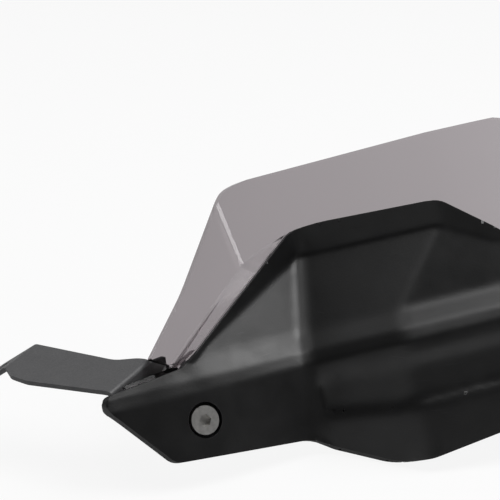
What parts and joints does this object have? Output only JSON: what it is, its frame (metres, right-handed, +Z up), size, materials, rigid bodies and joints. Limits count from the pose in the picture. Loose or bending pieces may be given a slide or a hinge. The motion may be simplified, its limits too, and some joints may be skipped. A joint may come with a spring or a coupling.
{
  "type": "motorcycle hand guard",
  "caption": "Moulded hand guard with a long wing, a forward bulge with a flared rim, a smoked wind screen behind it and a bent steel strap with a bolt hole.",
  "frame": {"origin": "centre of the strap lug's bolt hole, on the lug's underside", "axes": "+X along the guard from its nose towards the middle of the handlebar, +Y back towards the rider, +Z up as the guard is carried"},
  "size_m": [0.2772, 0.2027, 0.1389],
  "materials": {
    "shell": "fine grained moulding",
    "screen": "smoked, clear, polished",
    "strap": "powder coat",
    "stainless": "satin",
    "sleeve": "turned",
    "brass": "turned"
  },
  "bodies": {
    "root": {"shell": "shell", "screen": "screen", "mounting_strap": "strap", "tip_screw": "stainless", "tip_sleeve": "sleeve", "tip_washer": "stainless", "tip_nut": "stainless", "screen_screws": "stainless", "screen_washers": "stainless", "screen_inserts": "brass"}
  },
  "joints": []
}
